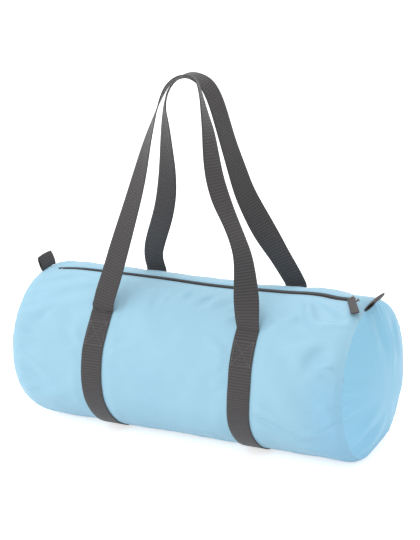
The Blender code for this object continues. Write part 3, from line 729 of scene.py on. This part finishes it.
# The tape's section, round its edge: distance from the zip's middle, and depth below its level.
tape_section = [
    (tape_inner, 0.0004), (tape_inner + 0.0003, 0.0001), (tape_inner + 0.0012, 0),
    (tape_inner + 0.003, 0.0001), (0.010, 0.0001), (0.015, 0.0001), (tape_outer, 0.0001),
    (tape_outer, 0.0007), (0.015, 0.0007), (0.010, 0.0007), (tape_inner + 0.003, 0.0007),
    (tape_inner + 0.0003, 0.0007)]


def tape_points(x, turns, offset):
    """Points on the smooth level that the zip's parts follow, off the barrel by an offset."""
    reach = barrel_radius - shoulder(x)[0] + offset
    rear, up = zip_shift(x)
    return np.stack([x, reach * np.sin(turns) + rear, axis_height + reach * np.cos(turns) + up], -1)


def make_zip_tape(side, cad_node):
    """One tape as a closed strip whose inner edge is rounded up a little over its cord."""
    x = np.linspace(-seam_half, seam_half, tape_stations)
    rows = []
    for wide, deep in tape_section:
        turn = np.full_like(x, zip_turn + side * np.arcsin(wide / barrel_radius))
        rows.append(tape_points(x, turn, tape_level - deep))
    points = np.stack(rows, 1)
    uv = np.stack(np.broadcast_arrays(x[:, None], np.array(tape_section)[None, :, 0]), -1)
    piece = grid_object("tape_" + cad_node.split("_")[-1], points, tape_cloth, uv, closed_around=True,
                        flip=side > 0)
    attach(piece, "bag")
    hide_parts(cad_node)


make_zip_tape(-1, "zip_tape_front")
make_zip_tape(1, "zip_tape_rear")

# The zip's coil
# Two rows of nylon elements, moulded from one thick filament. The rows stand close to each other
# over the cords of the tapes.


def bead_tree():
    """A tree that sets beads along curves, each one lying along its curve with its top to the normal."""
    tree = bpy.data.node_groups.new("beads_along_a_path", "GeometryNodeTree")
    tree.interface.new_socket("Path", in_out="INPUT", socket_type="NodeSocketGeometry")
    tree.interface.new_socket("Pitch", in_out="INPUT", socket_type="NodeSocketFloat")
    tree.interface.new_socket("Bead size", in_out="INPUT", socket_type="NodeSocketVector")
    tree.interface.new_socket("Sides", in_out="INPUT", socket_type="NodeSocketInt")
    tree.interface.new_socket("Finish", in_out="INPUT", socket_type="NodeSocketMaterial")
    tree.interface.new_socket("Beads", in_out="OUTPUT", socket_type="NodeSocketGeometry")
    given = add_node(tree, "NodeGroupInput")
    upright = add_node(tree, "GeometryNodeSetCurveNormal", {"mode": "Z_UP"}, Curve=given.outputs["Path"])
    spots = add_node(tree, "GeometryNodeCurveToPoints", {"mode": "LENGTH"}, Curve=upright.outputs[0],
                     Length=given.outputs["Pitch"])
    ball = add_node(tree, "GeometryNodeMeshUVSphere", Segments=given.outputs["Sides"], Rings=5, Radius=0.5)
    beads = add_node(tree, "GeometryNodeInstanceOnPoints", Points=spots.outputs["Points"],
                     Instance=ball.outputs["Mesh"], Rotation=spots.outputs["Rotation"],
                     Scale=given.outputs["Bead size"])
    real = add_node(tree, "GeometryNodeRealizeInstances", Geometry=beads.outputs[0])
    smooth = add_node(tree, "GeometryNodeSetShadeSmooth", Geometry=real.outputs[0])
    finished = add_node(tree, "GeometryNodeSetMaterial", Geometry=smooth.outputs[0],
                        Material=given.outputs["Finish"])
    add_node(tree, "NodeGroupOutput", Beads=finished.outputs[0])
    return tree


beads_along_a_path = bead_tree()


def make_beads(name, paths, pitch, size, sides, material):
    """One plain mesh of beads along paths; size is across the path, square to both, and along it."""
    curve = bpy.data.curves.new(name, "CURVE")
    curve.dimensions = "3D"
    for path in paths:
        spline = curve.splines.new("POLY")
        spline.points.add(len(path) - 1)
        spline.points.foreach_set("co", np.concatenate([path, np.ones((len(path), 1))], 1).reshape(-1))
    holder = add_object(name, curve)
    modifier = holder.modifiers.new("beads", "NODES")
    modifier.node_group = beads_along_a_path
    sockets = {item.name: item.identifier for item in beads_along_a_path.interface.items_tree
               if item.in_out == "INPUT"}
    modifier[sockets["Pitch"]] = pitch
    modifier[sockets["Bead size"]] = size
    modifier[sockets["Sides"]] = sides
    modifier[sockets["Finish"]] = material
    shaped = holder.evaluated_get(bpy.context.evaluated_depsgraph_get())
    mesh = bpy.data.meshes.new_from_object(shaped)
    bpy.data.objects.remove(holder)
    bpy.data.curves.remove(curve)
    return add_object(name, mesh)


# Nylon monofilament: smooth, with a soft shine on each loop.
nylon = new_material("nylon_monofilament", "4A4748", 0.38, IOR=1.53, Specular_IOR_Level=0.5)[0]
chain_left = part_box("zip_teeth_front")[0].x
chain_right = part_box("zip_teeth_front")[1].x
chain_margin = 0.001
element_pitch = 0.0020
element_size = (0.0024, 0.0018, 0.0013)
element_sides = 8
row_distance = 0.0017
row_depth = 0.0004
for side, cad_node in ((-1, "zip_teeth_front"), (1, "zip_teeth_rear")):
    shift = element_pitch / 2 if side > 0 else 0.0
    x = np.arange(chain_left + chain_margin + shift, chain_right - chain_margin, element_pitch)
    row_turns = np.full_like(x, zip_turn + side * row_distance / barrel_radius)
    row = tape_points(x, row_turns, tape_level - row_depth)
    name = "coil_" + cad_node.split("_")[-1]
    coil = make_beads(name, [row], element_pitch, element_size, element_sides, nylon)
    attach(coil, "bag")
    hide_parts(cad_node)

# The slider, its ring and the stops
# Die-cast zinc with a dark nickel finish: small, smooth and shiny where it catches the light. The
# stops are clipped over the ends of the coil.


def add_grain(tree, shader, scale, strength, depth):
    """A fine unevenness of a moulded surface, in its bump; gives back the grain's own output."""
    place = add_node(tree, "ShaderNodeTexCoord")
    grain = add_node(tree, "ShaderNodeTexNoise", Vector=place.outputs["Object"], Scale=scale, Detail=2.0)
    bump = add_node(tree, "ShaderNodeBump", Strength=strength, Distance=depth, Height=grain.outputs["Fac"])
    tree.links.new(bump.outputs[0], shader.inputs["Normal"])
    return grain.outputs["Fac"]


# Dark nickel over the cast metal: it mirrors the room, a little rougher in patches about 1.1 mm wide.
gunmetal, gunmetal_tree, gunmetal_shader = new_material("dark_nickel_on_zinc", "A6A6A8", 0.24, Metallic=1.0)
cast_grain = add_grain(gunmetal_tree, gunmetal_shader, scale=900.0, strength=0.25, depth=0.00005)
cast_range = add_node(gunmetal_tree, "ShaderNodeMapRange", Value=cast_grain, To_Min=0.18, To_Max=0.32)
gunmetal_tree.links.new(cast_range.outputs[0], gunmetal_shader.inputs["Roughness"])

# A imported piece's points closer than the first are joined, faces flatter than the second made one, and
# edges sharper than the third rounded. Above the fourth an edge stays crisp to the eye.
weld_distance = 0.000005
flat_angle = radians(1)
rounded_angle = radians(32)
crisp_angle = radians(50)


def read_points(mesh):
    """A mesh's points as an array."""
    places = np.zeros(len(mesh.vertices) * 3)
    mesh.vertices.foreach_get("co", places)
    return places.reshape(-1, 3)


def soften(name, cad_node, body, material, edge_width, follow_zip=False):
    """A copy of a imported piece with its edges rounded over, as casting and moulding leave them."""
    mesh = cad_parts[cad_node].data.copy()
    mesh.materials.clear()
    mesh.materials.append(material)
    holder = add_object(name, mesh)
    weld = holder.modifiers.new("weld", "WELD")
    weld.merge_threshold = weld_distance
    flat = holder.modifiers.new("whole faces", "DECIMATE")
    flat.decimate_type = "DISSOLVE"
    flat.angle_limit = flat_angle
    bevel = holder.modifiers.new("rounded edges", "BEVEL")
    bevel.width = edge_width
    bevel.segments = 3
    bevel.limit_method = "ANGLE"
    bevel.angle_limit = rounded_angle
    bevel.use_clamp_overlap = True
    finished = bpy.data.meshes.new_from_object(holder.evaluated_get(bpy.context.evaluated_depsgraph_get()))
    bpy.data.objects.remove(holder)
    if follow_zip:
        places = read_points(finished)
        rear, up = zip_shift(places[:, 0])
        places[:, 1] += rear
        places[:, 2] += up
        finished.vertices.foreach_set("co", places.reshape(-1))
    finished.shade_smooth()
    finished.set_sharp_from_angle(angle=crisp_angle)
    piece = add_object(name, finished)
    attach(piece, body)
    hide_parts(cad_node)


soften("cast_slider", "zip_slider", "slider", gunmetal, edge_width=0.00018)
soften("wire_ring", "pull_ring", "ring", gunmetal, edge_width=0.00006)
for name in ("stop_left", "stop_right_front", "stop_right_rear"):
    soften("clip_" + name, "zip_" + name, "bag", gunmetal, edge_width=0.0001,
           follow_zip=True)

# The puller
# A moulded PVC tag on the ring, with a thin eye and a thicker grip. It is matt, with a grain about
# 0.6 mm wide from its mould.
moulding, moulding_tree, moulding_shader = new_material(
    "moulded_soft_pvc", "3C393A", 0.50, IOR=1.53, Specular_IOR_Level=0.45)
add_grain(moulding_tree, moulding_shader, scale=1600.0, strength=0.3, depth=0.0001)
soften("moulded_puller", "zip_puller", "puller", moulding, edge_width=0.00025)

# The belly straps
# Dark grey polypropylene webbing sewn round the barrel, 38 mm wide and 1.5 mm thick, ribbed across
# every 4.7 mm. It draws the cloth in a little, and the bag stands on it.

# Polypropylene webbing, woven from thick matt yarn: ribs across it and cords along it, with a low
# sheen. The pattern reads the strap's own UV map, in metres along and across.
webbing, webbing_tree, webbing_shader = new_material(
    "polypropylene_webbing", "565354", 0.78, IOR=1.49, Specular_IOR_Level=0.35, Sheen_Weight=0.25,
    Sheen_Roughness=0.4)
rib_pitch = 0.0047
rib_shift = 0.30
cord_pitch = 0.0030
cord_roundness = 0.5
rib_depth = 0.0003
strap_uv = add_node(webbing_tree, "ShaderNodeUVMap", {"uv_map": "UVMap"})
strap_parts = add_node(webbing_tree, "ShaderNodeSeparateXYZ", _0=strap_uv.outputs[0])
cord_phase = add_node(webbing_tree, "ShaderNodeMath", {"operation": "MULTIPLY"}, _0=strap_parts.outputs[1],
                      _1=2 * pi / cord_pitch)
cord_wave = add_node(webbing_tree, "ShaderNodeMath", {"operation": "SINE"}, _0=cord_phase.outputs[0])
cord_side = add_node(webbing_tree, "ShaderNodeMath", {"operation": "SIGN"}, _0=cord_wave.outputs[0])
rib_phase = add_node(webbing_tree, "ShaderNodeMath", {"operation": "MULTIPLY"}, _0=strap_parts.outputs[0],
                     _1=2 * pi / rib_pitch)
rib_offset = add_node(webbing_tree, "ShaderNodeMath", {"operation": "MULTIPLY_ADD"}, _0=cord_side.outputs[0],
                      _1=rib_shift, _2=rib_phase.outputs[0])
rib_wave = add_node(webbing_tree, "ShaderNodeMath", {"operation": "SINE"}, _0=rib_offset.outputs[0])
cord_round = add_node(webbing_tree, "ShaderNodeMath", {"operation": "ABSOLUTE"}, _0=cord_wave.outputs[0])
cord_height = add_node(webbing_tree, "ShaderNodeMath", {"operation": "POWER"}, _0=cord_round.outputs[0],
                       _1=cord_roundness)
webbing_height = add_node(webbing_tree, "ShaderNodeMath", {"operation": "ADD"}, _0=cord_height.outputs[0],
                          _1=rib_wave.outputs[0])
webbing_bump = add_node(webbing_tree, "ShaderNodeBump", Strength=0.5, Distance=rib_depth,
                        Height=webbing_height.outputs[0])
webbing_tree.links.new(webbing_bump.outputs[0], webbing_shader.inputs["Normal"])
# Painted shade: the webbing's grey runs darker down into the valleys between its ribs and cords and paler on
# their crests.
webbing_valley_shade_share = add_node(webbing_tree, "ShaderNodeMapRange", Value=webbing_height.outputs[0], From_Min=-1.0,
                         From_Max=1.5)
webbing_grey_and_valley_shade = add_node(webbing_tree, "ShaderNodeMix", {"data_type": "RGBA"}, _0=webbing_valley_shade_share.outputs[0],
                          _6=to_linear("363435"), _7=to_linear("504D4E"))
webbing_tree.links.new(webbing_grey_and_valley_shade.outputs[2], webbing_shader.inputs["Base Color"])

# The webbing's section: share of the half width and of the half thickness, round its rounded edges.
flat_shares = [-0.965, -0.75, -0.5, -0.25, 0.0, 0.25, 0.5, 0.75, 0.965]
edge_shares = [(0.993, 0.55), (1.0, 0.0), (0.993, -0.55)]
section_shares = ([(share, 1.0) for share in flat_shares] + edge_shares
                  + [(share, -1.0) for share in flat_shares[::-1]]
                  + [(-share, level) for share, level in edge_shares[::-1]])
selvedge_angle = radians(60)


def webbing_mesh(name, centres, across, outward):
    """A length of webbing along a path; across and outward are its directions at each place."""
    wide, thick = np.array(section_shares).T * np.array([[webbing_width / 2], [webbing_thickness / 2]])
    points = (centres[:, None, :] + across[:, None, :] * wide[None, :, None]
              + outward[:, None, :] * thick[None, :, None])
    steps = np.linalg.norm(np.diff(centres, axis=0), axis=1)
    lengths = np.concatenate([[0], np.cumsum(steps)])
    uv = np.stack(np.broadcast_arrays(lengths[:, None], wide[None, :]), -1)
    piece = grid_object(name, points, webbing, uv, closed_around=True)
    count, total = len(wide), len(wide) * len(centres)
    extend_mesh(piece, [tuple(range(count)), tuple(range(total - 1, total - count - 1, -1))])
    piece.data.set_sharp_from_angle(angle=selvedge_angle)
    return piece


strap_top_turn = radians(49.4)
strap_stations = 260


def unit_rows(rows):
    """Each row as a direction of length 1."""
    return rows / np.linalg.norm(rows, axis=1, keepdims=True)


def strap_path(side, turns):
    """The webbing's middle line where it lies on the cloth, and its outward direction."""
    base = shell_points(strap_place(side, turns), turns)
    tangent = np.gradient(base, axis=0) * np.sign(turns[-1] - turns[0])
    outward = unit_rows(np.cross(np.array([1.0, 0, 0]), tangent))
    return base + outward * (seat_gap + webbing_thickness / 2), outward


for name, side in (("left", -1), ("right", 1)):
    turns = np.linspace(strap_top_turn, 2 * pi - strap_top_turn, strap_stations)
    centres, outward = strap_path(side, turns)
    across = np.tile(np.array([1.0, 0, 0]), (len(turns), 1))
    strap = webbing_mesh("strap_" + name, centres, across, outward)
    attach(strap, "bag")
    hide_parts("belly_strap_" + name)

# The box stitches
# Bonded thread in a square with a cross, through both ends of each strap. It stands a little above the
# webbing and has more shine; its grey is painted paler than the webbing's to stand in for that shine, so a
# square shows paler than the rest.
dark_thread = new_material("bonded_polyester_thread", "747172", 0.45, IOR=1.53, Sheen_Weight=0.15)[0]
box_top = strap_top_turn + radians(0.8)
box_bottom = box_top + radians(16.5)
box_half_width = webbing_width / 2 - 0.0035
stitch_pitch = 0.0031
stitch_size = (0.0008, 0.0006, 0.0025)
stitch_sides = 6
stitch_lift = webbing_thickness / 2 + 0.0001
box_stations = 30
line_stations = 20
# A square and its cross: each line's two ends as (down the strap, across it), in shares.
box_lines = [((0, -1), (1, -1)), ((0, 1), (1, 1)), ((0, -1), (0, 1)), ((1, -1), (1, 1)), ((0, -1), (1, 1)),
             ((0, 1), (1, -1))]
for name, side in (("left", -1), ("right", 1)):
    paths = []
    for half in (1, -1):
        box_turns = half * np.linspace(box_top, box_bottom, box_stations) + (0 if half > 0 else 2 * pi)
        centres, outward = strap_path(side, box_turns)
        surface = centres + outward * stitch_lift
        for start, end in box_lines:
            down = np.linspace(start[0], end[0], line_stations) * (box_stations - 1)
            wide = np.linspace(start[1], end[1], line_stations) * box_half_width
            line = np.stack([np.interp(down, np.arange(box_stations), surface[:, k]) for k in range(3)], -1)
            line[:, 0] += wide
            paths.append(line)
    stitches = make_beads("box_stitches_" + name, paths, stitch_pitch, stitch_size, stitch_sides, dark_thread)
    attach(stitches, "bag")

# The zip's stitches
# The same thread in the cloth's colour holds the zip in: one row along each turned edge, 3 mm from it.
row_margin = 0.002
row_step = 0.0025
row_inset = 0.0030
row_lift = 0.0002
pale_thread = new_material("blue_polyester_thread", "9CCBE4", 0.45, IOR=1.53, Sheen_Weight=0.15)[0]
for name, half in (("front", -1), ("rear", 1)):
    x = np.arange(chain_left + row_margin, chain_right - row_margin, row_step)
    row_turns = zip_turn + half * (opening_half(x) + row_inset) / barrel_radius
    rows = [shell_points(x, row_turns, row_lift)]
    stitches = make_beads("zip_stitches_" + name, rows, stitch_pitch, stitch_size, stitch_sides, pale_thread)
    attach(stitches, "bag")

# The handles
# The same webbing, free above its stitching. Each leg turns by a quarter from lying on the barrel to
# standing on edge under the other handle, where a hand or a hook would hold both up.

# Each place on a leg: how far up and over to the apex, how far along the barrel in shares of the
# straps' half distance, and how far it has turned, in half turns.
front_leg_left_shares = [
    (0.03, -0.978, 0.00), (0.07, -0.955, 0.01), (0.15, -0.873, 0.02), (0.28, -0.755, 0.04),
    (0.44, -0.605, 0.095), (0.59, -0.472, 0.145), (0.74, -0.358, 0.235), (0.84, -0.264, 0.30),
    (0.917, -0.182, 0.35), (0.975, -0.085, 0.37)]
front_leg_right_shares = [
    (1.003, 0.285, 0.36), (0.950, 0.350, 0.375), (0.88, 0.398, 0.425), (0.80, 0.455, 0.505),
    (0.70, 0.499, 0.57), (0.61, 0.552, 0.61), (0.52, 0.648, 0.63), (0.45, 0.752, 0.595),
    (0.38, 0.850, 0.59), (0.31, 0.926, 0.62), (0.24, 0.958, 0.68), (0.17, 0.976, 0.77),
    (0.11, 0.989, 0.88), (0.04, 1.000, 0.98)]
front_apex_shares = (1.016, 0.120, 0.38)
rear_leg_left_shares = [
    (0.03, -1.000, 0.00), (0.07, -1.012, 0.01), (0.13, -0.990, 0.04), (0.20, -0.905, 0.04),
    (0.32, -0.735, 0.035), (0.44, -0.610, 0.045), (0.56, -0.530, 0.105), (0.67, -0.480, 0.175),
    (0.78, -0.426, 0.25), (0.87, -0.372, 0.34), (0.945, -0.245, 0.40)]
rear_leg_right_shares = [
    (0.966, 0.210, 0.52), (0.905, 0.297, 0.54), (0.80, 0.348, 0.55), (0.68, 0.390, 0.56),
    (0.56, 0.445, 0.61), (0.47, 0.489, 0.65), (0.38, 0.572, 0.72), (0.28, 0.685, 0.83),
    (0.19, 0.806, 0.95), (0.11, 0.911, 0.98), (0.06, 0.972, 0.99), (0.03, 0.998, 1.00)]
rear_apex_shares = (0.996, 0.030, 0.46)

# A handle leaves the barrel at the fold line and runs on in line for its peel. Its apex stands a little
# off the middle, and the front one also leans by its tilt where it stands on edge.
strap_end_turn = radians(44.0)
fold_gap = 0.0006
peel_length = 0.005
apex_height = 0.459
apex_spread = 0.0205
path_steps = 18
ease_passes = 60
lead_stations = 24
front_tilt = radians(18)


def smooth_rows(rows, steps):
    """Rows on a smooth curve through the given ones; the first three numbers are their place."""
    rows = [Vector(row) for row in rows]
    spans = [(after.xyz - before.xyz).length for before, after in zip(rows, rows[1:])]
    rates = [(after - before) / span for before, after, span in zip(rows, rows[1:], spans)]
    slopes = [rates[0]]
    for index in range(1, len(rates)):
        before, after = spans[index - 1], spans[index]
        slopes.append((rates[index - 1] * after + rates[index] * before) / (before + after))
    slopes.append(rates[-1])
    result = []
    for start, end, leave, arrive, span in zip(rows, rows[1:], slopes, slopes[1:], spans):
        for step in range(steps):
            t = step / steps
            result.append(start * (1 + 2 * t) * (1 - t) ** 2 + end * t ** 2 * (3 - 2 * t)
                          + leave * span * t * (1 - t) ** 2 - arrive * span * t ** 2 * (1 - t))
    return result + [rows[-1]]


def handle_route(side, left_shares, apex_shares, right_shares):
    """The handle's centre line and turn, from its left foot over the apex to its right foot."""
    foot_turn = strap_end_turn - fold_gap / barrel_radius
    reach = barrel_radius + seat_gap + webbing_thickness / 2
    foot_y, foot_z = reach * sin(foot_turn), reach * cos(foot_turn)
    peel_y = foot_y - peel_length * cos(foot_turn)
    peel_z = foot_z + peel_length * sin(foot_turn)
    rows = [(-strap_half, foot_y, foot_z, 0.0), (-strap_half, peel_y, peel_z, 0.0)]
    for rise, across, turn in left_shares + [apex_shares] + right_shares:
        rows.append((across * strap_half, foot_y + (apex_spread - foot_y) * rise,
                     foot_z + (apex_height - foot_z) * rise, turn))
    rows += [(strap_half, peel_y, peel_z, 1.0), (strap_half, foot_y, foot_z, 1.0)]
    return np.array([(x, side * y, axis_height + z, -pi * turn)
                     for x, y, z, turn in smooth_rows(rows, path_steps)])


def ease_lengthways(rows):
    """Even out the rows between the two ends, so that the curve has no corners."""
    rows = rows.copy()
    for _ in range(ease_passes):
        rows[1:-1] = rows[1:-1] * 0.5 + (rows[:-2] + rows[2:]) * 0.25
    return rows


def make_handle(name, side, shares, tilt, cad_node):
    """A handle in one length, from under its left stitch box over the apex to under its right one."""
    route = handle_route(side, *shares)
    route[path_steps:-path_steps] = ease_lengthways(route[path_steps:-path_steps])
    centres, turns = route[:, :3], route[:, 3]
    along = unit_rows(np.gradient(centres, axis=0))
    across = np.stack([np.cos(turns), np.sin(turns), sin(tilt) * np.sin(turns) ** 2], -1)
    across -= along * (along * across).sum(1, keepdims=True)
    across = unit_rows(across)
    lead_turns = np.linspace(strap_top_turn, strap_end_turn, lead_stations)[:-1]
    leads = [strap_path(strap_side, side * lead_turns)[0] for strap_side in (-1, 1)]
    centres = np.concatenate([leads[0], centres, leads[1][::-1]])
    flat = np.tile(np.array([1.0, 0, 0]), (len(lead_turns), 1))
    across = np.concatenate([flat, across, -flat])
    outward = unit_rows(np.cross(across, unit_rows(np.gradient(centres, axis=0))))
    piece = webbing_mesh(name, centres, across, outward)
    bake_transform(piece)
    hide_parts(cad_node)


make_handle("webbing_handle_front", -1, (front_leg_left_shares, front_apex_shares, front_leg_right_shares),
            front_tilt, "handle_front")
make_handle("webbing_handle_rear", 1, (rear_leg_left_shares, rear_apex_shares, rear_leg_right_shares), 0.0,
            "handle_rear")

# The end tabs
# A short length of the same webbing folded into a loop, with both its ends caught in the seam at each
# end of the zip, to hold on to while the slider is drawn.
tab_length = 0.025
tab_loop_gap = 0.0032
layer_stations = 20
bend_stations = 18


def make_tab(name, side, lean, inset, cad_node):
    """One tab: its two layers leave the seam together, part a little and meet again at the fold."""
    fall, slope = shoulder(seam_half - inset)
    rim_reach = barrel_radius - fall
    closed = (webbing_thickness + seat_gap) / 2
    opened = (webbing_thickness + tab_loop_gap) / 2
    outward = np.array([side * sin(lean), 0, cos(lean)])
    sideways = np.array([side * cos(lean), 0, -sin(lean)])
    corner_lift = (closed + webbing_thickness / 2) * abs(slope * cos(lean) - sin(lean))
    lift = (corner_lift + 2 * seat_gap) / cos(lean)
    straight = tab_length - closed - webbing_thickness / 2 - lift
    share = np.linspace(0, 1, layer_stations)
    spread = closed + (opened - closed) * 4 * share * (1 - share)
    bend = np.linspace(0, pi, bend_stations)[1:-1]
    along = np.concatenate([straight * share, straight + closed * np.sin(bend), (straight * share)[::-1]])
    apart = np.concatenate([spread, closed * np.cos(bend), -spread[::-1]])
    seam = np.array([side * (seam_half - inset), 0, axis_height + rim_reach]) + outward * lift
    centres = seam + outward * along[:, None] + sideways * apart[:, None]
    across = np.tile(np.array([0.0, 1.0, 0]), (len(centres), 1))
    square = np.cross(across, unit_rows(np.gradient(centres, axis=0)))
    piece = webbing_mesh(name, centres, across, square)
    points = read_points(piece.data)
    points[:, 2] -= rim_reach - np.sqrt(rim_reach ** 2 - points[:, 1] ** 2)
    piece.data.vertices.foreach_set("co", points.reshape(-1))
    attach(piece, "bag")
    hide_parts(cad_node)


make_tab("loop_left", -1, lean=radians(16), inset=0.006, cad_node="tab_left")
make_tab("loop_right", 1, lean=radians(47), inset=0.002, cad_node="tab_right")
